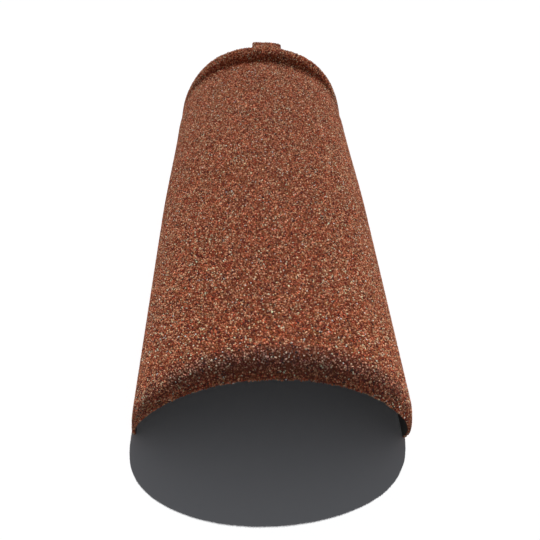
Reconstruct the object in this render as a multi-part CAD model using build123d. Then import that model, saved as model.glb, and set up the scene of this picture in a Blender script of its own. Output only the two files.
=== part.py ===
from build123d import *
import math
import os

# Hip and ridge tile: one half-barrel shell pressed from a single stone-coated steel sheet.
# It lies open side down on the lower edges of its two sides.
# X is across the tile, Y runs from the turned-down nose to the raised head, Z is up.
# The origin is the middle of the underside of the whole tile. All sizes are millimetres.

# Barrel, outside sizes, taken where the nose begins to turn down
half_width = 95.0
height = 103.0
leg_height = 9.0
side_taper = 3.3
crown_taper = 16.7
barrel_length = 333.7

# Coated sheet, steel and granules together
sheet = 2.2

# Nose, the end that laps over the next tile: a bend and a straight flange, less deep at the sides
nose_run = 15.5
nose_bend_radius = 10.4
nose_angle = 61.0
nose_side_share = 0.27

# Feet of the nose, trimmed back on an arc from the lip to the ground
foot_setback = 11.7
foot_setback_height = 61.0

# Neck, the slight waist before the head
neck_run = 27.8
neck_depth = 1.2

# Head, the raised end that the next tile's nose covers
head_crown_rise = 9.8
head_side_drop = 5.5
head_run = 13.5
head_flat = 3.1

# Tab, the small tongue at the crown of the head
tab_width = 29.5
tab_length = 10.9
tab_corner = 2.5

# Stations along each curved stretch
curve_steps = 8

# Places along Y
total_length = nose_run + barrel_length + neck_run + head_run + head_flat + tab_length
lip_y = -total_length / 2
nose_y = lip_y + nose_run
neck_y = nose_y + barrel_length
head_y = neck_y + neck_run
flat_y = head_y + head_run
end_y = flat_y + head_flat


def half_at(y):
    """Half width of the plain barrel, which draws in evenly from the nose to the end of the head."""
    return half_width - side_taper * (y - nose_y) / (end_y - nose_y)


def crown_at(y):
    """Crown height of the plain barrel, which falls evenly from the nose to the end of the head."""
    return height - crown_taper * (y - nose_y) / (end_y - nose_y)


def steps(end):
    """Even steps from nothing to the end."""
    return [end * index / curve_steps for index in range(curve_steps + 1)]


def double_bend(run, rise, part):
    """Rise and slope of two equal arcs that join two level lines, as a press forms a step."""
    radius = (run**2 + rise**2) / (4 * rise)
    angle = math.asin(run * min(part, 1 - part) / radius)
    bend = radius * (1 - math.cos(angle))
    return (bend if part <= 0.5 else rise - bend), math.tan(angle)


def nose_fall(y, radius):
    """Fall and slope of the crown's line: an arc of this radius up to the nose's angle, then straight."""
    run = nose_y - y
    curved = min(run, radius * math.sin(math.radians(nose_angle)))
    turned = math.asin(curved / radius)
    return radius * (1 - math.cos(turned)) + (run - curved) * math.tan(turned), math.tan(turned)


# Each of the next four functions gives the half width and the crown height at y, for a face at some
# depth in the sheet: the outside has no depth, and the inside has the depth of the sheet.


def barrel_size(y, depth):
    """The plain tapered length that stays in view on the roof."""
    return half_at(y) - depth, crown_at(y) - depth


def nose_size(y, depth):
    """The nose: the two faces bend round one centre, so that the sheet keeps its thickness."""
    crown_fall, _ = nose_fall(y, nose_bend_radius - depth)
    outer_fall, slope = nose_fall(y, nose_bend_radius)
    side_fall = nose_side_share * outer_fall
    wall = depth * math.hypot(1, nose_side_share * slope)
    return half_at(nose_y) - side_fall - wall, crown_at(nose_y) - crown_fall - depth


def neck_size(y, depth):
    """The slight waist, as deep at the sides as at the crown."""
    dip, _ = double_bend(neck_run, neck_depth, (y - neck_y) / neck_run)
    return half_at(y) - dip - depth, crown_at(y) - dip - depth


def head_size(y, depth):
    """The step up at the crown, on two arcs with common centres, while the sides draw in."""
    part = min(max((y - head_y) / head_run, 0), 1)
    draw_in, slope = double_bend(head_run, head_side_drop - neck_depth, part)
    half = half_at(y) - neck_depth - draw_in - depth * math.hypot(1, slope)
    radius, angle = head_bend()
    if y <= (head_y + flat_y) / 2 + depth * math.sin(angle):
        outward = radius + depth
        rise = outward - math.sqrt(outward**2 - (y - head_y) ** 2)
        return half, head_foot() - depth + rise
    inward = radius - depth
    fall = inward - math.sqrt(inward**2 - max(flat_y - y, 0) ** 2)
    return half, head_top() - depth - fall


def head_foot():
    """Crown height where the step begins."""
    return crown_at(head_y) - neck_depth


def head_top():
    """Crown height of the head."""
    return crown_at(flat_y) + head_crown_rise


def head_bend():
    """Radius and angle of the two arcs of the step."""
    rise = head_top() - head_foot()
    radius = (head_run**2 + rise**2) / (4 * rise)
    return radius, math.asin(head_run / 2 / radius)


def section(y, half, crown, depth):
    """Filled cross-section: two upright legs joined by an elliptical arch."""
    with BuildSketch(Plane.XZ.offset(-y)) as outline:
        with BuildLine():
            EllipticalCenterArc((0, leg_height), half, crown - leg_height, start_angle=0, arc_size=180)
            Polyline((-half, leg_height), (-half, -depth), (half, -depth), (half, leg_height))
        make_face()
    return outline.sketch


def length_of(size, depth, places):
    """One length of the filled form, through its sections at these places along Y."""
    return loft([section(y, *size(y, depth), depth) for y in places])


def form(depth):
    """The whole tile filled in, for the outside or the inside of the sheet."""
    knee_angle = math.radians(nose_angle)
    knee = [nose_y - (nose_bend_radius - depth) * math.sin(turned) for turned in steps(knee_angle)]
    radius, angle = head_bend()
    foot = [head_y + (radius + depth) * math.sin(turned) for turned in steps(angle)]
    shoulder = [flat_y - (radius - depth) * math.sin(turned) for turned in reversed(steps(angle))]
    neck = [neck_y + along for along in steps(neck_run)]
    whole = length_of(nose_size, depth, [lip_y - depth, knee[-1]])
    whole += length_of(nose_size, depth, knee[::-1])
    whole += length_of(barrel_size, depth, [nose_y, neck_y])
    whole += length_of(neck_size, depth, neck)
    whole += length_of(head_size, depth, foot + shoulder[1:])
    whole += extrude(section(flat_y, *head_size(flat_y, depth), depth), head_flat + depth, dir=(0, 1, 0))
    return whole


def feet_trim():
    """What is cut away in front of the feet of the nose."""
    foot = (lip_y + foot_setback, 0)
    top = (lip_y, foot_setback_height)
    ahead = lip_y - foot_setback
    with BuildSketch(Plane.YZ.offset(-half_width)) as outline:
        with BuildLine():
            TangentArc(top, foot, tangent=(0, -1))
            Polyline(foot, (ahead, 0), (ahead, foot_setback_height), top)
        make_face()
    return extrude(outline.sketch, 2 * half_width)


def tab():
    """The tongue at the crown: the head carried on, cut to a rounded plan."""
    outer = section(end_y, *head_size(flat_y, 0), 0)
    inner = section(end_y, *head_size(flat_y, sheet), sheet)
    strip = extrude(outer - inner, tab_length, dir=(0, 1, 0))
    half = tab_width / 2
    tip_y = end_y + tab_length
    with BuildSketch() as plan:
        with BuildLine():
            FilletPolyline((-half, end_y), (-half, tip_y), (half, tip_y), (half, end_y), radius=tab_corner)
            Line((half, end_y), (-half, end_y))
        make_face()
    return strip & extrude(plan.sketch, height + head_crown_rise)


ridge_tile = form(0) - form(sheet) - feet_trim() + tab()
ridge_tile.label = "ridge_tile"

os.makedirs("parts", exist_ok=True)
export_step(ridge_tile, "parts/ridge_tile.step")
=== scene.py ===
import math

import bpy
import numpy as np
from bpy.props import FloatProperty, FloatVectorProperty, IntProperty, PointerProperty
from mathutils import Matrix, Vector


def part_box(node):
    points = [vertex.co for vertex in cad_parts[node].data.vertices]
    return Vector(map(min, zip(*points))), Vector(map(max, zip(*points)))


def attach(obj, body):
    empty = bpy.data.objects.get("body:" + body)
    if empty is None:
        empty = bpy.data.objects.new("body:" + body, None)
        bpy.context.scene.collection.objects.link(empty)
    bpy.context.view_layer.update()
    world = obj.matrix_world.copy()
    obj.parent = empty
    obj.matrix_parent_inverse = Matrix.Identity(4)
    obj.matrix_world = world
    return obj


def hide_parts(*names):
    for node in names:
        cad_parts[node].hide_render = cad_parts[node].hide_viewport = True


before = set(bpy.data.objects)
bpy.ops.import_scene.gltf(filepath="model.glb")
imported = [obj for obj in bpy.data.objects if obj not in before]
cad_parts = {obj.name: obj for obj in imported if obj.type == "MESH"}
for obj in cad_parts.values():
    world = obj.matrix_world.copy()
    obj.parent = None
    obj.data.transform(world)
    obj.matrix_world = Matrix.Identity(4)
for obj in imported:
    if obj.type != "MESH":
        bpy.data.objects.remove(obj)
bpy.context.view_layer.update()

# Hip and ridge tile: a half-barrel cap of pressed steel sheet under a coat of stone granules.
# X is across the tile, Y runs from the turned-down nose to the raised head, Z is up, in metres.

bl_info = {
    "name": "Hip and ridge tile",
    "version": (1, 0, 0),
    "blender": (4, 5, 0),
    "location": "3D View > Sidebar > Ridge Tile",
    "description": "A stone-coated steel barrel ridge tile on a pale floor",
    "category": "Add Mesh",
}

TILE_LOW, TILE_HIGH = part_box("ridge_tile")
QUARTER = math.pi / 2
BAKE_MAP = "OFBake"
CHIP_COLOR = "granule_color"
DISPLAY_GAMMA = 2.2


def length(name, default, description):
    """A length property in metres."""
    return FloatProperty(name=name, description=description, default=default, unit="LENGTH", precision=5)


def slant(name, default, description):
    """An angle property in radians."""
    return FloatProperty(name=name, description=description, default=default, subtype="ANGLE")


def portion(name, default, description):
    """A property that is a share of a whole."""
    return FloatProperty(name=name, description=description, default=default, subtype="FACTOR")


def pigment(name, default, description):
    """A colour property in linear values."""
    return FloatVectorProperty(name=name, description=description, default=default, size=3, subtype="COLOR")


class TileShape(bpy.types.PropertyGroup):
    """Sizes of the pressed sheet."""

    half_width: length(
        "Half width", (TILE_HIGH[0] - TILE_LOW[0]) / 2, "Half of the width where the nose begins"
    )
    height: length("Height", TILE_HIGH[2] - TILE_LOW[2], "Height of the crown where the nose begins")
    leg_height: length("Leg height", 0.0090, "Upright part of each side, under the arch")
    side_taper: length("Side taper", 0.0033, "How far each side draws in over the length")
    crown_taper: length("Crown taper", 0.0167, "How far the crown falls over the length")
    sheet: length("Sheet", 0.0022, "Steel and granules together")
    nose_run: length("Nose run", 0.0155, "Length of the turned-down nose")
    nose_bend_radius: length("Nose bend radius", 0.0104, "Radius of the bend that begins the nose")
    nose_angle: slant("Nose angle", math.radians(61.0), "How far the nose turns down")
    nose_side_share: portion("Nose side share", 0.27, "Fall at the sides as a share of the fall at the crown")
    foot_setback: length("Foot setback", 0.0117, "How far the feet of the nose are trimmed back")
    foot_setback_height: length("Foot setback height", 0.0610, "Height at which the trim begins")
    neck_run: length("Neck run", 0.0278, "Length over which the waist forms")
    neck_depth: length("Neck depth", 0.0012, "Depth of the waist")
    waist_run: length("Waist run", 0.1400, "Length over which the sides draw in before the neck")
    waist_depth: length("Waist depth", 0.0031, "How far the sides draw in before the neck")
    head_crown_rise: length("Head crown rise", 0.0104, "How far the head's crown stands above the barrel")
    head_side_drop: length("Head side drop", 0.0045, "How far the head's sides lie inside the barrel's line")
    head_fullness: length("Head fullness", 0.0016, "How far the head's shoulders lie outside an ellipse")
    head_run: length("Head run", 0.0135, "Length of the step up to the head")
    head_flat: length("Head flat", 0.0031, "Level rim of the head")
    tab_width: length("Tab width", 0.0295, "Width of the tongue at the crown of the head")
    tab_length: length("Tab length", 0.0109, "Length of the tongue")
    tab_corner: length("Tab corner", 0.0025, "Radius of the tongue's corners")
    crease_place: length("Crease place", -0.0064, "Where the faint crease crosses the barrel, along Y")
    crease_depth: length("Crease depth", 0.00025, "Depth of the faint crease")
    crease_width: length("Crease width", 0.0030, "Width of the faint crease")
    bend_waver: length("Bend waver", 0.0003, "How far the bend of the nose strays in and out round the arch")
    mesh_step: length("Mesh step", 0.0032, "Size of the sheet's mesh cells on the barrel")
    bend_step: length("Bend step", 0.0011, "Length of the mesh cells in the bends of the nose and the head")


class StoneCoat(bpy.types.PropertyGroup):
    """Sizes and colours of the granules."""

    coat_depth: length("Coat depth", 0.0007, "From the sheet to the tips of the granules")
    spacing: length("Granule spacing", 0.00114, "Mean distance between neighbouring granules")
    granule_size: length("Granule size", 0.00124, "Mean width of a granule")
    bend_loss: portion("Bend loss", 0.45, "Share of granules lost where the nose bends most")
    # Painted shade: granules are darkened at the nose's bend, where the flange faces away from the lamp.
    bend_painted_shade: portion("Bend shade", 0.12, "How much darker granules are where the nose bends most")
    # Greyer granules at the bend: partly the press's grey dust, partly painted shade of the flange.
    bend_dust_and_shade_greying: portion("Bend dulling", 0.6, "How much greyer granules are where the nose bends most")
    bands: IntProperty(name="Bands", description="Number of meshes that share the granules", default=5, min=1)
    seed: IntProperty(name="Seed", description="Start of the random draws", default=2656)
    brightness_spread: portion("Brightness spread", 0.20, "How much single granules differ in brightness")
    brown: pigment("Brown", (0.406, 0.107, 0.038), "Main colour of the granules")
    umber: pigment("Umber", (0.200, 0.036, 0.009), "Dark granules")
    tan: pigment("Tan", (0.780, 0.400, 0.220), "Light granules")
    brick: pigment("Brick", (0.500, 0.080, 0.028), "Redder granules")
    olive: pigment("Olive", (0.400, 0.170, 0.052), "Greener granules")
    cream: pigment("Cream", (0.930, 0.550, 0.340), "Few pale granules")
    red_patch: pigment("Red patch", (1.0, 0.88, 0.80), "Tint of the redder patches")
    green_patch: pigment("Green patch", (0.90, 1.0, 1.0), "Tint of the greener patches")
    binder: pigment("Binder", (0.110, 0.032, 0.014), "Adhesive and fines between the granules")
    primer: pigment("Primer", (0.075, 0.068, 0.062), "Painted underside of the sheet")


class Studio(bpy.types.PropertyGroup):
    """Floor, light and camera."""

    sun_strength: FloatProperty(
        name="Sun strength", description="Light of the lamp on a face turned to it", default=3.35
    )
    sun_angle: slant("Sun angle", math.radians(0.6), "Apparent width of the lamp")
    sun_from: FloatVectorProperty(
        name="Sun from", description="Direction the lamp shines from", default=(0.0854, 0.5814, 1.0), size=3
    )
    fill: pigment("Fill", (0.096, 0.099, 0.107), "Soft light from all round")
    floor_color: pigment("Floor", (0.50, 0.50, 0.50), "Colour of the light that the floor throws back")
    floor_size: length("Floor size", 12.0, "Side of the floor")
    camera_place: FloatVectorProperty(
        name="Camera place",
        description="Where the camera stands",
        default=(-0.036995, -0.39353, 0.377786),
        size=3,
        unit="LENGTH",
    )
    camera_down: slant("Camera down", 0.8024, "How far the camera looks down")
    camera_turn: slant("Camera turn", 0.1122, "How far it is turned to the right")
    camera_roll: slant("Camera roll", 0.1123, "How far it is rolled")
    camera_nearest: length("Camera nearest", 0.01, "Nearest place that the camera shows")
    camera_lens: FloatProperty(
        name="Camera lens", description="Focal length in millimetres on a 36 mm sensor", default=39.874
    )


class Places:
    """Places along Y, worked out from the sizes."""

    def __init__(self, shape):
        self.lip = TILE_LOW[1]
        self.nose = self.lip + shape.nose_run
        self.tip = TILE_HIGH[1]
        self.end = self.tip - shape.tab_length
        self.flat = self.end - shape.head_flat
        self.head = self.flat - shape.head_run
        self.neck = self.head - shape.neck_run


def double_bend(run, rise, part):
    """Rise of two equal arcs that join two level lines, at a share of the run."""
    radius = (run**2 + rise**2) / (4 * rise)
    bend = radius - np.sqrt(radius**2 - (run * np.minimum(part, 1 - part)) ** 2)
    return np.where(part <= 0.5, bend, rise - bend)


def eased(part):
    """A share that leaves 0 and reaches 1 level: three times its square less twice its cube."""
    return part**2 * (3 - 2 * part)


def nose_fall(shape, y):
    """Fall of the crown's line at the nose: one arc up to the nose's angle, then a straight flange."""
    run = np.clip(Places(shape).nose - y, 0, None)
    curved = np.minimum(run, shape.nose_bend_radius * math.sin(shape.nose_angle))
    turned = np.arcsin(curved / shape.nose_bend_radius)
    return shape.nose_bend_radius * (1 - np.cos(turned)) + (run - curved) * np.tan(turned)


def half_axes(shape, y):
    """Half width and rise of the arch at y.

    Both fall evenly along the tile. At the nose the rise falls by an arc and a straight flange, and the
    half width by a share of that. Before the head the half width eases in, and at the neck both dip. At
    the head the rise steps up by two arcs while the half width eases to its own place. The crease is a
    bell curve.
    """
    at = Places(shape)
    length_share = 1 / (at.end - at.nose)
    side_share = (np.clip(y, at.nose, at.flat) - at.nose) * length_share
    crown_share = (np.clip(y, at.nose, at.head) - at.nose) * length_share
    neck = np.clip((y - at.neck) / shape.neck_run, 0, 1)
    head = np.clip((y - at.head) / shape.head_run, 0, 1)
    waist = np.clip((y - at.neck + shape.waist_run) / shape.waist_run, 0, 1)
    fall = nose_fall(shape, y)
    dip = double_bend(shape.neck_run, shape.neck_depth, neck)
    dip = dip + shape.crease_depth * np.exp(-(((y - shape.crease_place) / shape.crease_width) ** 2))
    half = shape.half_width - shape.side_taper * side_share - dip - shape.nose_side_share * fall
    half = half - shape.waist_depth * eased(waist)
    half = half - (shape.head_side_drop - shape.neck_depth - shape.waist_depth) * eased(head)
    step = shape.head_crown_rise + shape.neck_depth - shape.crown_taper * shape.head_run * length_share
    rise = shape.height - shape.leg_height - shape.crown_taper * crown_share - dip - fall
    rise = rise + double_bend(shape.head_run, step, head)
    return half, rise


# Waves of the puckers round the arch. Each has a height, a rate by which the turn is multiplied, and a start.
PUCKER_WAVES = ((0.30, 9.0, 1.2), (0.38, 30.0, -0.2), (0.20, 47.0, 1.1), (0.12, 83.0, 4.0))
# How far behind the nose the puckers begin, as a share of its run, and over how many times that they form.
PUCKER_START = 0.4
PUCKER_EASE = 2.2


def puckers(turn):
    """Uneven pressing round the arch, from 0 to 1: half of one plus the sum of the sine waves of turn."""
    waves = sum(height * np.sin(rate * turn + start) for height, rate, start in PUCKER_WAVES)
    return (1 + waves) / 2


def bend_strays(shape, turn, y):
    """How far the nose lies inside its plain form: the puckers, easing in from just behind the bend."""
    behind = PUCKER_START * shape.nose_run
    start = Places(shape).nose + behind
    return shape.bend_waver * puckers(turn) * eased(np.clip((start - y) / (PUCKER_EASE * behind), 0, 1))


# The worn coat, which also sets the painted shade of the granules at the nose's bend. Its middle in front of
# the nose's start and its width along the tile are shares of the nose's run, its width round the arch is a
# turn, and the even share is the wear and shade that no pucker changes.
WEAR_AND_SHADE_MIDDLE = 0.45
WEAR_AND_SHADE_ALONG = 0.32
WEAR_AND_SHADE_ROUND = 0.9
WEAR_AND_SHADE_EVEN = 0.4


def bend_wear_and_shade(shape, turn, y):
    """How far the press has opened the coat, and how deep the painted shade of the nose's bend is, from 0 to
    1.

    A bell curve over the bend, times a bell curve round the arch from its crown, times the even share plus
    the rest of the share in the puckers.
    """
    middle = Places(shape).nose - WEAR_AND_SHADE_MIDDLE * shape.nose_run
    along = np.exp(-(((y - middle) / (WEAR_AND_SHADE_ALONG * shape.nose_run)) ** 2))
    return (WEAR_AND_SHADE_EVEN + (1 - WEAR_AND_SHADE_EVEN) * puckers(turn)) * along * np.exp(-((turn / WEAR_AND_SHADE_ROUND) ** 2))


def leg_turn(shape):
    """The share of the turn that an upright leg takes, so that turn measures length evenly."""
    return shape.leg_height / (shape.height - shape.leg_height)


# The turn is multiplied by this under the sine that places the head's shoulders.
SHOULDER_RATE = 2.6


def outside(shape, turn, y):
    """Point of the coat's outer face.

    turn is 0 at the crown. Up to a quarter turn either way the point is on a half ellipse,
    (half sin turn, leg + rise cos turn). Past that it runs straight down the upright leg. At the head both
    axes grow by the fullness times the squared sine of the turn times its rate, which fills the shoulders.
    The nose lies inside its plain form by as far as the bend strays.
    """
    half, rise = half_axes(shape, y)
    arch = np.clip(turn, -QUARTER, QUARTER)
    at = Places(shape)
    shoulder = np.sin(np.clip(SHOULDER_RATE * np.abs(arch), 0, math.pi)) ** 2
    full = shape.head_fullness * shoulder * eased(np.clip((y - at.head) / shape.head_run, 0, 1))
    swell = full - bend_strays(shape, turn, y)
    half, rise = half + swell, rise + swell
    past = np.abs(turn) - np.abs(arch)
    x = half * np.sin(arch)
    z = shape.leg_height + rise * np.cos(arch) - past * shape.leg_height / leg_turn(shape)
    return np.stack([x, y + 0 * x, z], axis=-1)


def unit(vectors):
    """The vectors at length one."""
    return vectors / np.linalg.norm(vectors, axis=-1, keepdims=True)


def lie(shape, turn, y):
    """Point, direction round the section, direction along the tile, and outward normal.

    The directions are the differences of two points a small step either way, and the normal is their
    cross product.
    """
    small = 1e-5
    point = outside(shape, turn, y)
    around = outside(shape, turn + small, y) - outside(shape, turn - small, y)
    along = outside(shape, turn, y + small) - outside(shape, turn, y - small)
    normal = unit(np.cross(around, along))
    around = unit(around)
    return point, around, np.cross(normal, around), normal


def lip_start(shape, turn):
    """Where the sheet begins along Y: level at the lip, then trimmed back to the ground on one arc.

    The arc depends on the height at the place that is sought, so the place is worked out again from itself.
    """
    rounds = 3
    at = Places(shape)
    drop, back = shape.foot_setback_height, shape.foot_setback
    radius = (back**2 + drop**2) / (2 * back)
    start = np.full(np.shape(turn), at.lip)
    for _ in range(rounds):
        low = np.clip(drop - outside(shape, turn, start)[..., 2], 0, drop)
        start = at.lip + radius - np.sqrt(radius**2 - low**2)
    return start


def tab_turn(shape):
    """Half of the tab's width as a turn."""
    half, _ = half_axes(shape, np.array(Places(shape).end))
    return math.asin(shape.tab_width / 2 / float(half))


def tab_end(shape, turn):
    """Where the tab ends along Y: level, with its two corners rounded."""
    half, _ = half_axes(shape, np.array(Places(shape).end))
    out = np.abs(half * np.sin(turn)) - (shape.tab_width / 2 - shape.tab_corner)
    out = np.clip(out, 0, shape.tab_corner)
    return Places(shape).tip - shape.tab_corner + np.sqrt(shape.tab_corner**2 - out**2)


def runs(*stretches):
    """Joined even divisions of stretches, each given as (start, end, number of cells)."""
    parts = [np.linspace(start, end, cells + 1)[:-1] for start, end, cells in stretches]
    return np.concatenate([*parts, [stretches[-1][1]]])


def crown_line(shape, start, end):
    """Fine places along Y, and how far each lies from the start along the crown's own line."""
    places = 4000
    fine = np.linspace(start, end, places)
    crown = outside(shape, np.zeros_like(fine), fine)
    travel = np.cumsum(np.linalg.norm(np.diff(crown, axis=0), axis=1))
    return fine, np.concatenate([[0], travel])


def rows_along(shape, start, end, step):
    """Places along Y from start to end that divide the crown's own line evenly."""
    fine, travel = crown_line(shape, start, end)
    cells = max(round(travel[-1] / step), 2)
    return np.interp(np.linspace(0, travel[-1], cells + 1), travel, fine)


def make_piece(name, points, faces, materials, smooth=False):
    """A new object at the origin from whole arrays of points and of faces with equal corner counts."""
    mesh = bpy.data.meshes.new(name)
    corners = faces.shape[1]
    mesh.vertices.add(len(points))
    mesh.vertices.foreach_set("co", points.astype(np.float32).ravel())
    mesh.loops.add(faces.size)
    mesh.loops.foreach_set("vertex_index", faces.astype(np.int32).ravel())
    mesh.polygons.add(len(faces))
    mesh.polygons.foreach_set("loop_start", np.arange(0, faces.size, corners, dtype=np.int32))
    mesh.polygons.foreach_set("use_smooth", np.full(len(faces), smooth))
    mesh.update(calc_edges=True)
    for material in materials:
        mesh.materials.append(material)
    piece = bpy.data.objects.new(name, mesh)
    bpy.context.scene.collection.objects.link(piece)
    return piece


def sheet_mesh(shape, coat):
    """Points, faces and a material number for each face of the steel sheet under the granules.

    The outer layer is the tile's surface, moved in by the coat's depth, and the inner layer is the same
    moved in by the sheet's thickness. Both are one grid of turn and y. Cells past the head belong only
    to the tab, and a wall joins the layers wherever a cell has no neighbour.
    """
    at = Places(shape)
    inset = coat.coat_depth
    step = shape.mesh_step
    tab = tab_turn(shape)
    end_turn = QUARTER + leg_turn(shape)
    side_cells = round((QUARTER - tab) * shape.height / step)
    leg_cells, tab_cells = 2, 12
    turns = runs(
        (-end_turn, -QUARTER, leg_cells),
        (-QUARTER, -tab, side_cells),
        (-tab, tab, tab_cells),
        (tab, QUARTER, side_cells),
        (QUARTER, end_turn, leg_cells),
    )
    rows = np.concatenate([
        rows_along(shape, at.nose, at.head, step)[:-1],
        rows_along(shape, at.head, at.flat, shape.bend_step)[:-1],
        rows_along(shape, at.flat, at.end - inset, shape.bend_step),
    ])
    start = lip_start(shape, turns)[None, :] + inset
    nose_rows = rows_along(shape, at.lip, at.nose, shape.bend_step)[:-1, None]
    nose_share = (nose_rows - at.lip) / shape.nose_run
    tab_rows = 6
    tab_share = np.linspace(0, 1, tab_rows + 1)[1:, None]
    tab_tip = tab_end(shape, turns)[None, :] - inset
    y = np.concatenate([
        start + (at.nose - start) * nose_share,
        np.repeat(rows[:, None], len(turns), axis=1),
        rows[-1] + (tab_tip - rows[-1]) * tab_share,
    ])
    turn = np.repeat(turns[None, :], len(y), axis=0)
    point, _, _, normal = lie(shape, turn, y)
    layers = np.stack([point - normal * inset, point - normal * shape.sheet])
    across, count = len(turns), turn.size

    keep = np.ones((len(y) - 1, across - 1), bool)
    keep[-tab_rows:] = (np.abs(turns[:-1] + turns[1:]) / 2 < tab)[None, :]
    row, column = np.nonzero(keep)
    first = row * across + column
    outer = np.stack([first, first + 1, first + across + 1, first + across], axis=1)
    inner = outer[:, ::-1] + count
    ringed = np.pad(keep, 1)
    walls = []
    sides = ((-1, 0, 0, 1), (1, 0, 2, 3), (0, -1, 3, 0), (0, 1, 1, 2))
    for row_step, column_step, corner_a, corner_b in sides:
        alone = ~ringed[row + 1 + row_step, column + 1 + column_step]
        a, b = outer[alone, corner_a], outer[alone, corner_b]
        walls.append(np.stack([b, a, a + count, b + count], axis=1))
    faces = np.concatenate([outer, inner, *walls])
    kinds = np.zeros(len(faces), np.int32)
    kinds[len(outer):len(outer) + len(inner)] = 1

    used = np.unique(faces)
    place = np.zeros(2 * count, np.int64)
    place[used] = np.arange(len(used))
    return layers.reshape(-1, 3)[used], place[faces], kinds


# How far a seat strays along the tile and round it, as shares of a step.
STRAY_ALONG = 0.45
STRAY_ROUND = 0.42
# Bare margins: at the lip and the head as a share of the coat's depth, at the feet as a share of a step.
END_MARGIN = 0.6
FOOT_MARGIN = 0.3
# Spacing on the open edges as a share of the face's, and how far a seat strays there, as a share of a step.
RIM_SPACING = 0.9
RIM_STRAY = 0.3


def seats(shape, coat, draw):
    """Turn and y of each granule's seat, over the whole face.

    A grid of even steps, with every second row moved by half a step, and each seat moved at random by
    less than half a step. Rows are spaced by the length along the crown, so that steep places are full.
    Where the bend has opened the coat, some granules are missing.
    """
    at = Places(shape)
    fine, travel = crown_line(shape, at.lip, at.tip)
    row_step = coat.spacing * math.sqrt(3) / 2
    turn_step = coat.spacing / (shape.height - shape.leg_height)
    end_turn = QUARTER + leg_turn(shape)
    rows = np.arange(0, travel[-1], row_step)
    columns = np.arange(-end_turn, end_turn, turn_step)
    row, column = np.meshgrid(rows, columns, indexing="ij")
    shift = (np.arange(len(rows)) % 2)[:, None] * turn_step / 2
    row = row + draw.uniform(-STRAY_ALONG, STRAY_ALONG, row.shape) * row_step
    turn = column + shift + draw.uniform(-STRAY_ROUND, STRAY_ROUND, column.shape) * turn_step
    y = np.interp(row, travel, fine).ravel()
    turn = turn.ravel()
    inset = END_MARGIN * coat.coat_depth
    point = outside(shape, turn, y)
    on_tab = np.abs(point[:, 0]) < shape.tab_width / 2 - inset
    last = np.where(on_tab, tab_end(shape, turn), at.end) - inset
    keep = (y > lip_start(shape, turn) + inset) & (y < last)
    keep &= np.abs(turn) < end_turn - FOOT_MARGIN * turn_step
    keep &= draw.random(len(y)) > coat.bend_loss * bend_wear_and_shade(shape, turn, y)
    return turn[keep], y[keep]


def rim_seats(shape, coat, draw):
    """Turn and y of the granules along the open edges, and which way each edge faces, round and along."""
    at = Places(shape)
    step = RIM_SPACING * coat.spacing
    turn_step = step / (shape.height - shape.leg_height)
    end_turn = QUARTER + leg_turn(shape)
    tab = tab_turn(shape)
    turns = np.arange(-end_turn, end_turn, turn_step)
    lip = turns + draw.uniform(-RIM_STRAY, RIM_STRAY, turns.shape) * turn_step
    head = turns[np.abs(turns) > tab]
    tongue = turns[np.abs(turns) < tab]
    side = np.arange(at.end, at.tip - shape.tab_corner, step)
    inset = coat.coat_depth
    side_turn = np.full(side.shape, tab - inset / shape.height)
    turn = np.concatenate([lip, head, tongue, side_turn, -side_turn])
    y = np.concatenate([
        lip_start(shape, lip) + inset,
        np.full(head.shape, at.end - inset),
        tab_end(shape, tongue) - inset,
        side,
        side,
    ])
    backward, forward = np.full(lip.shape, -1.0), np.ones(len(head) + len(tongue))
    along = np.concatenate([backward, forward, np.zeros(2 * len(side))])
    around = np.concatenate([0 * backward, 0 * forward, np.ones(len(side)), -np.ones(len(side))])
    return turn, y, around, along


# Corners of a granule: its foot first, then its top. Each row of a table is one triangle, from outside.
CORNERS = 6
RIDGED = np.array([
    (0, 1, 4), (1, 2, 5), (1, 5, 4), (2, 3, 5), (3, 0, 4), (3, 4, 5), (0, 2, 1), (0, 3, 2),
])
FLAT_TOPPED = np.array([
    (0, 1, 3), (1, 4, 3), (1, 2, 4), (2, 5, 4), (2, 0, 5), (0, 3, 5), (3, 4, 5), (0, 2, 1),
])
# Share of granules with a ridge, spread of the sizes' logarithms, and how far a corner's angle strays.
RIDGED_SHARE = 0.25
SIZE_SPREAD = 0.16
ANGLE_STRAY = 0.35
# Reach of the corners as shares of the granule's half width. Three feet reach further than four.
TOP_REACH = (0.55, 0.85)
FOOT_REACH = (0.85, 1.20)
THREE_FEET_REACH = 1.12
# Height of the top, how far its corners stray from that, and the depth of the feet, as shares of the coat.
TOP_HEIGHT = (0.62, 0.92)
TOP_STRAY = (-0.12, 0.06)
FOOT_SINK = 0.25
# Reach of the widest granule, which fills its cell of the map, and half of what it fills of the cell's side.
WIDEST_REACH = 1.35
MAP_FILL = 0.42


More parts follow.
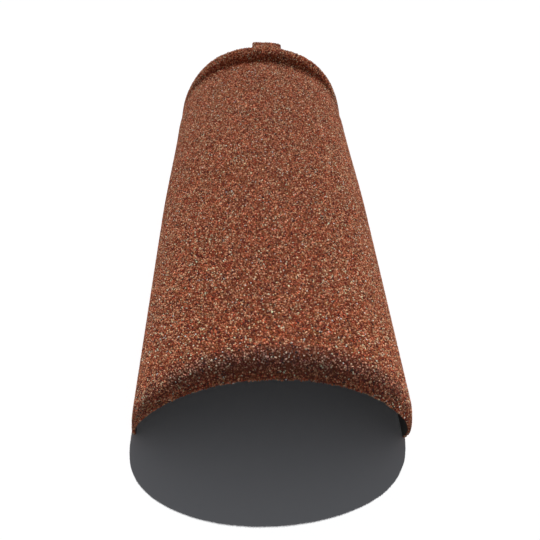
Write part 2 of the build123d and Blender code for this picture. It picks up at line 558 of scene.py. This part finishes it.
def chips(coat, draw, seat, around, along, normal):
    """Points and faces of crushed granules, and each corner's place seen from above its granule.

    A granule has six corners and eight faces.

    The foot's corners stand round the seat at even angles and a random turn, with random radii, and are
    sunk under the sheet. The top's corners stand nearer the middle at random heights.
    Some granules have a ridge on four feet, and the rest have a flat, tilted top on three.
    """
    count = len(seat)
    each_corner = (count, CORNERS)
    ridged = draw.random(count) < RIDGED_SHARE
    spin = draw.uniform(0, 2 * math.pi, count)[:, None]
    size = coat.granule_size / 2 * np.exp(draw.normal(0, SIZE_SPREAD, count))[:, None]
    feet = np.where(ridged, 4, 3)[:, None]
    corner = np.arange(CORNERS)[None, :]
    top = corner >= feet
    number = np.where(top, corner - feet, corner)
    each = np.where(top, CORNERS - feet, feet)
    angle = spin + 2 * math.pi * number / each + np.where(top, math.pi / feet, 0)
    angle = angle + draw.uniform(-ANGLE_STRAY, ANGLE_STRAY, each_corner)
    reach = np.where(top, draw.uniform(*TOP_REACH, each_corner), draw.uniform(*FOOT_REACH, each_corner))
    reach = reach * np.where(ridged[:, None] | top, 1, THREE_FEET_REACH)
    tall = coat.coat_depth * draw.uniform(*TOP_HEIGHT, count)[:, None]
    stray = coat.coat_depth * draw.uniform(*TOP_STRAY, each_corner)
    height = np.where(top, tall + stray, -FOOT_SINK * coat.coat_depth)
    flat = size * reach
    points = (
        seat[:, None, :]
        + around[:, None, :] * (flat * np.cos(angle))[..., None]
        + along[:, None, :] * (flat * np.sin(angle))[..., None]
        + normal[:, None, :] * height[..., None]
    )
    table = np.where(ridged[:, None, None], RIDGED[None], FLAT_TOPPED[None])
    faces = table + (CORNERS * np.arange(count))[:, None, None]
    local = np.stack([reach * np.cos(angle), reach * np.sin(angle)], axis=-1) / WIDEST_REACH
    return points.reshape(-1, 3), faces.reshape(-1, 3), local


# Share of each kind of granule: brown, umber, tan, brick, olive and cream.
KIND_SHARES = (0.34, 0.17, 0.17, 0.18, 0.10, 0.04)
# How far a granule's colour goes from brown to that of its kind, and the limits on a display's scale.
KIND_BLEND = (0.35, 1.0)
DARKEST = 0.03
LIGHTEST = 0.92


def chip_colors(coat, draw, wear_and_shade):
    """One colour a granule: a kind drawn by weight, then its own brightness.

    Brightness moves all three channels by one step on a display's scale, the root of the linear value, so
    light granules are paler and dark ones deeper. At the nose's bend granules are darker, as painted shade of
    the flange that faces away from the lamp, and greyer, partly as painted shade and partly for the press's
    grey dust.
    """
    count = len(wear_and_shade)
    kinds = np.array([coat.brown, coat.umber, coat.tan, coat.brick, coat.olive, coat.cream])
    kind = draw.choice(len(kinds), count, p=KIND_SHARES)
    blend = draw.uniform(*KIND_BLEND, count)[:, None]
    color = kinds[0] + (kinds[kind] - kinds[0]) * blend
    # Painted shade: a step darker at the nose's bend.
    step = draw.normal(0, coat.brightness_spread, count) - coat.bend_painted_shade * wear_and_shade
    shown = np.clip(color ** (1 / DISPLAY_GAMMA) + step[:, None], DARKEST, LIGHTEST)
    color = shown**DISPLAY_GAMMA
    # Greyer at the nose's bend: partly the press's grey dust, partly painted shade.
    grey = color.mean(axis=1, keepdims=True)
    return color + (grey - color) * coat.bend_dust_and_shade_greying * wear_and_shade[:, None]


def chip_map(local, count):
    """UV of each granule in a cell of its own, so that no two share a place."""
    across = math.ceil(math.sqrt(count))
    cell = np.arange(count)
    middle = np.stack([cell % across, cell // across], axis=1) + 0.5
    return (middle[:, None, :] + MAP_FILL * np.clip(local, -1, 1)) / across


class Value:
    """A number on a shader socket. Arithmetic on it adds Math nodes."""

    def __init__(self, finish, socket):
        self.finish, self.socket = finish, socket

    def math(self, operation, *operands):
        """A Math node's result."""
        node = self.finish.node("ShaderNodeMath", {"operation": operation}, dict(enumerate(operands)))
        return Value(self.finish, node.outputs[0])

    def __add__(self, other):
        return self.math("ADD", self, other)

    def __mul__(self, other):
        return self.math("MULTIPLY", self, other)

    __radd__, __rmul__ = __add__, __mul__

    def between(self, low, high):
        """0 at low, 1 at high and clamped outside."""
        node = self.finish.node("ShaderNodeMapRange", {"clamp": True}, {0: self, 1: low, 2: high})
        return Value(self.finish, node.outputs[0])

    def to(self, low, high):
        """low where this is 0, high where it is 1."""
        return self * (high - low) + low


class Finish:
    """A material under construction. constants are set on the Principled node's own sockets."""

    def __init__(self, name, constants):
        self.material = bpy.data.materials.new(name)
        self.material.use_nodes = True
        self.tree = self.material.node_tree
        self.skin = self.tree.nodes["Principled BSDF"]
        for socket, value in constants.items():
            self.skin.inputs[socket].default_value = value
        self.place = self.node("ShaderNodeTexCoord").outputs["Object"]

    def node(self, kind, settings=None, inputs=None):
        """A node of one kind: its settings first, then the values or links of its sockets."""
        node = self.tree.nodes.new(kind)
        for name, value in (settings or {}).items():
            setattr(node, name, value)
        for name, value in (inputs or {}).items():
            self.feed(node.inputs[name], value)
        return node

    def feed(self, socket, value):
        """Links a value or a socket, or sets a constant."""
        if isinstance(value, Value):
            value = value.socket
        if isinstance(value, bpy.types.NodeSocket):
            self.tree.links.new(value, socket)
        else:
            socket.default_value = value

    def noise(self, scale, detail, roughness):
        """Cloudy noise, with this many features a metre."""
        inputs = {"Vector": self.place, "Scale": scale, "Detail": detail, "Roughness": roughness}
        return Value(self, self.node("ShaderNodeTexNoise", {}, inputs).outputs[0])

    def cells(self, scale, output="Distance"):
        """Cells round scattered points, this many a metre."""
        node = self.node("ShaderNodeTexVoronoi", {}, {"Vector": self.place, "Scale": scale})
        return Value(self, node.outputs[output])

    def mix(self, factor, first, second, blend="MIX"):
        """A blend of two colours."""
        settings = {"data_type": "RGBA", "blend_type": blend}
        return self.node("ShaderNodeMix", settings, {0: factor, 6: first, 7: second}).outputs[2]

    def bump(self, height, distance):
        """Feeds a height in metres, once scaled by distance, to the surface's normal."""
        node = self.node("ShaderNodeBump", {}, {"Height": height, "Distance": distance, "Strength": 1.0})
        self.feed(self.skin.inputs["Normal"], node.outputs[0])


def solid(color):
    """A colour with full alpha."""
    return (*color, 1.0)


def stone_finish(coat):
    """Matt crushed stone: each granule's own colour, mottled finely, with a grained surface."""
    finish = Finish("stone_granules", {"Specular IOR Level": 0.5})
    own = finish.node("ShaderNodeAttribute", {"attribute_name": CHIP_COLOR}).outputs["Color"]
    fine = finish.noise(scale=3200.0, detail=4.0, roughness=0.6)
    broad = finish.noise(scale=75.0, detail=3.0, roughness=0.6)
    grains = finish.cells(scale=1000.0, output="Color")
    mineral = Value(finish, finish.node("ShaderNodeSeparateColor", {}, {0: grains}).outputs[0])
    tone = fine.between(0.25, 0.75).to(0.85, 1.15) * mineral.to(0.65, 1.35)
    patch = broad.between(0.35, 0.65)
    tint = finish.mix(patch, solid(coat.red_patch), solid(coat.green_patch))
    grey = finish.node("ShaderNodeCombineColor", {}, {0: tone, 1: tone, 2: tone}).outputs[0]
    color = finish.mix(1.0, finish.mix(1.0, own, grey, "MULTIPLY"), tint, "MULTIPLY")
    finish.feed(finish.skin.inputs["Base Color"], color)
    finish.feed(finish.skin.inputs["Roughness"], fine.between(0.2, 0.8).to(0.80, 0.94))
    finish.bump(fine, distance=0.00006)
    return finish.material


def binder_finish(coat):
    """Dark adhesive between the granules, full of stone fines."""
    finish = Finish("stone_binder", {"Specular IOR Level": 0.30})
    fines = finish.cells(scale=2400.0)
    speck = finish.noise(scale=1500.0, detail=3.0, roughness=0.6)
    shade = speck.between(0.35, 0.7)
    color = finish.mix(shade, solid(coat.binder), solid(coat.umber))
    finish.feed(finish.skin.inputs["Base Color"], color)
    finish.feed(finish.skin.inputs["Roughness"], shade.to(0.75, 0.90))
    finish.bump(fines, distance=0.00020)
    return finish.material


def primer_finish(coat):
    """Matt primer on the steel's underside: a slight orange peel and faint clouds."""
    finish = Finish("underside_primer", {"Specular IOR Level": 0.40})
    peel = finish.noise(scale=900.0, detail=2.0, roughness=0.5)
    cloud = finish.noise(scale=26.0, detail=4.0, roughness=0.6).between(0.3, 0.7)
    dark_share = 0.72
    dark = tuple(dark_share * part for part in coat.primer)
    color = finish.mix(cloud, solid(dark), solid(coat.primer))
    finish.feed(finish.skin.inputs["Base Color"], color)
    finish.feed(finish.skin.inputs["Roughness"], cloud.to(0.50, 0.66))
    finish.bump(peel, distance=0.00005)
    return finish.material


def floor_finish(studio):
    """Plain pale floor.

    It is white to camera, glossy and transmission rays, and has its own colour for the light that it
    throws back on the tile.
    """
    finish = Finish("floor_white", {"Roughness": 0.95, "Specular IOR Level": 0.0})
    ray = finish.node("ShaderNodeLightPath").outputs
    seen = Value(finish, ray["Is Camera Ray"]) + Value(finish, ray["Is Glossy Ray"])
    seen = (seen + Value(finish, ray["Is Transmission Ray"])).between(0.0, 1.0)
    color = finish.mix(seen, solid(studio.floor_color), (1.0, 1.0, 1.0, 1.0))
    finish.feed(finish.skin.inputs["Base Color"], color)
    return finish.material


# The sheet's faces are shaded as one round surface up to this angle.
SHARP_FROM = math.radians(40)
# Granules on the open edges: how far they lean to the tile's outside, how deep they sit in the steel as a
# share of it, and how far they are turned out of the section.
RIM_LEAN = 0.45
RIM_DEPTH = 0.35
RIM_SLANT = 0.3


class RIDGETILE_OT_sheet(bpy.types.Operator):
    """Makes the pressed steel sheet that carries the granules"""

    bl_idname = "ridge_tile.sheet"
    bl_label = "Pressed sheet"

    def execute(self, context):
        shape, coat = context.scene.tile_shape, context.scene.stone_coat
        points, faces, kinds = sheet_mesh(shape, coat)
        finishes = [binder_finish(coat), primer_finish(coat)]
        sheet = make_piece("tile_sheet", points, faces, finishes, smooth=True)
        sheet.data.polygons.foreach_set("material_index", kinds)
        sheet.data.set_sharp_from_angle(angle=SHARP_FROM)
        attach(sheet, "root")
        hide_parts("ridge_tile")
        return {"FINISHED"}


class RIDGETILE_OT_granules(bpy.types.Operator):
    """Covers the outside of the sheet with crushed stone granules, in bands from the nose to the head"""

    bl_idname = "ridge_tile.granules"
    bl_label = "Stone granules"

    def execute(self, context):
        shape, coat = context.scene.tile_shape, context.scene.stone_coat
        draw = np.random.default_rng(coat.seed)
        turn, y = seats(shape, coat, draw)
        point, around, along, normal = lie(shape, turn, y)
        seat = point - normal * coat.coat_depth

        rim_turn, rim_y, edge_around, edge_along = rim_seats(shape, coat, draw)
        rim_point, rim_around, rim_along, rim_normal = lie(shape, rim_turn, rim_y)
        outward = rim_normal * RIM_LEAN + rim_around * edge_around[:, None] + rim_along * edge_along[:, None]
        outward = unit(outward)
        rim_depth = coat.coat_depth + RIM_DEPTH * (shape.sheet - coat.coat_depth)
        rim_seat = rim_point - rim_normal * rim_depth
        seat = np.concatenate([seat, rim_seat])
        normal = np.concatenate([normal, outward])
        along = np.concatenate([along, unit(np.cross(outward, rim_around + RIM_SLANT * rim_along))])
        around = np.cross(along, normal)

        # How worn the coat is at the nose's bend; the same share sets the painted shade of the granules
        # there.
        wear_and_shade = np.concatenate([bend_wear_and_shade(shape, turn, y), bend_wear_and_shade(shape, rim_turn, rim_y)])
        order = np.argsort(seat[:, 1], kind="stable")
        stone = stone_finish(coat)
        for band, members in enumerate(np.array_split(order, coat.bands), start=1):
            lies = [part[members] for part in (seat, around, along, normal)]
            points, faces, local = chips(coat, draw, *lies)
            points = np.clip(points, TILE_LOW, TILE_HIGH)
            colors = chip_colors(coat, draw, wear_and_shade[members])
            piece = make_piece(f"granules_{band}", points, faces, [stone])
            self.paint(piece.data, colors)
            self.unwrap(piece.data, faces, chip_map(local, len(members)).reshape(-1, 2))
            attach(piece, "root")
        return {"FINISHED"}

    def paint(self, mesh, colors):
        """Gives every corner of each granule its colour."""
        layer = mesh.color_attributes.new(CHIP_COLOR, "FLOAT_COLOR", "POINT")
        full = np.concatenate([colors, np.ones((len(colors), 1))], axis=1)
        layer.data.foreach_set("color", np.repeat(full, CORNERS, axis=0).astype(np.float32).ravel())

    def unwrap(self, mesh, faces, places):
        """Gives each face's corners the places of their points."""
        layer = mesh.uv_layers.new(name=BAKE_MAP)
        layer.uv.foreach_set("vector", places[faces.ravel()].astype(np.float32).ravel())


class RIDGETILE_OT_stage(bpy.types.Operator):
    """Makes the floor, the light and the camera"""

    bl_idname = "ridge_tile.stage"
    bl_label = "Stage"

    def execute(self, context):
        studio, scene = context.scene.studio, context.scene
        self.make_floor(studio)
        self.make_light(scene, studio)
        self.make_camera(scene, studio)
        scene.view_settings.view_transform = "Standard"
        return {"FINISHED"}

    def make_floor(self, studio):
        """A square floor at the height of the tile's feet."""
        half = studio.floor_size / 2
        corners = np.array([(-half, -half, 0), (half, -half, 0), (half, half, 0), (-half, half, 0)])
        make_piece("floor", corners, np.array([(0, 1, 2, 3)]), [floor_finish(studio)])

    def make_light(self, scene, studio):
        """One lamp, small enough for the shadow's crisp edge, and a dim fill from all round.

        Camera, glossy and transmission rays that miss everything see a white backdrop instead of the fill.
        """
        lamp = bpy.data.lights.new("sun", "SUN")
        lamp.energy = studio.sun_strength
        lamp.angle = studio.sun_angle
        sun = bpy.data.objects.new("sun", lamp)
        sun.rotation_mode = "QUATERNION"
        sun.rotation_quaternion = Vector(studio.sun_from).to_track_quat("Z", "Y")
        scene.collection.objects.link(sun)

        world = bpy.data.worlds.new("studio")
        world.use_nodes = True
        nodes, links = world.node_tree.nodes, world.node_tree.links
        nodes.clear()
        path = nodes.new("ShaderNodeLightPath")
        seen = nodes.new("ShaderNodeMath")
        seen.operation = "MAXIMUM"
        seen_glossy = nodes.new("ShaderNodeMath")
        seen_glossy.operation = "MAXIMUM"
        fill, white = nodes.new("ShaderNodeBackground"), nodes.new("ShaderNodeBackground")
        fill.inputs["Color"].default_value = solid(studio.fill)
        white.inputs["Color"].default_value = (1.0, 1.0, 1.0, 1.0)
        mix, out = nodes.new("ShaderNodeMixShader"), nodes.new("ShaderNodeOutputWorld")
        links.new(path.outputs["Is Camera Ray"], seen.inputs[0])
        links.new(path.outputs["Is Transmission Ray"], seen.inputs[1])
        links.new(seen.outputs[0], seen_glossy.inputs[0])
        links.new(path.outputs["Is Glossy Ray"], seen_glossy.inputs[1])
        links.new(seen_glossy.outputs[0], mix.inputs[0])
        links.new(fill.outputs[0], mix.inputs[1])
        links.new(white.outputs[0], mix.inputs[2])
        links.new(mix.outputs[0], out.inputs["Surface"])
        scene.world = world

    def make_camera(self, scene, studio):
        """The camera looks down and to the right of straight along the tile, and is rolled a little."""
        down, turn, roll = studio.camera_down, studio.camera_turn, studio.camera_roll
        forward = Vector((math.sin(turn) * math.cos(down), math.cos(turn) * math.cos(down), -math.sin(down)))
        level = Vector((math.cos(turn), -math.sin(turn), 0))
        upright = level.cross(forward)
        right = math.cos(roll) * level + math.sin(roll) * upright
        up = math.cos(roll) * upright - math.sin(roll) * level
        data = bpy.data.cameras.new("camera")
        data.lens = studio.camera_lens
        data.clip_start = studio.camera_nearest
        camera = bpy.data.objects.new("camera", data)
        axes = Matrix((right, up, -forward)).transposed()
        camera.matrix_world = Matrix.Translation(studio.camera_place) @ axes.to_4x4()
        scene.collection.objects.link(camera)
        scene.camera = camera


class RIDGETILE_PT_panel(bpy.types.Panel):
    """The tile's sizes, colours and makers"""

    bl_idname = "RIDGETILE_PT_panel"
    bl_label = "Ridge tile"
    bl_space_type = "VIEW_3D"
    bl_region_type = "UI"
    bl_category = "Ridge Tile"

    def draw(self, context):
        for group in GROUPS:
            settings = getattr(context.scene, group)
            box = self.layout.box()
            box.label(text=settings.bl_rna.description)
            for name in settings.bl_rna.properties.keys():
                if name not in ("name", "rna_type"):
                    box.prop(settings, name)
        for operator in OPERATORS:
            self.layout.operator(operator.bl_idname)


GROUPS = {"tile_shape": TileShape, "stone_coat": StoneCoat, "studio": Studio}
OPERATORS = (RIDGETILE_OT_sheet, RIDGETILE_OT_granules, RIDGETILE_OT_stage)


def register():
    """Makes the settings, operators and panel known to Blender."""
    for name, group in GROUPS.items():
        bpy.utils.register_class(group)
        setattr(bpy.types.Scene, name, PointerProperty(type=group))
    for kind in (*OPERATORS, RIDGETILE_PT_panel):
        bpy.utils.register_class(kind)


def unregister():
    """Takes back all that register did, in the opposite order."""
    for kind in (RIDGETILE_PT_panel, *reversed(OPERATORS)):
        bpy.utils.unregister_class(kind)
    for name, group in reversed(GROUPS.items()):
        delattr(bpy.types.Scene, name)
        bpy.utils.unregister_class(group)


def main():
    """Registers the classes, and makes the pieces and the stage."""
    register()
    bpy.ops.ridge_tile.sheet()
    bpy.ops.ridge_tile.granules()
    bpy.ops.ridge_tile.stage()


if __name__ == "__main__":
    main()
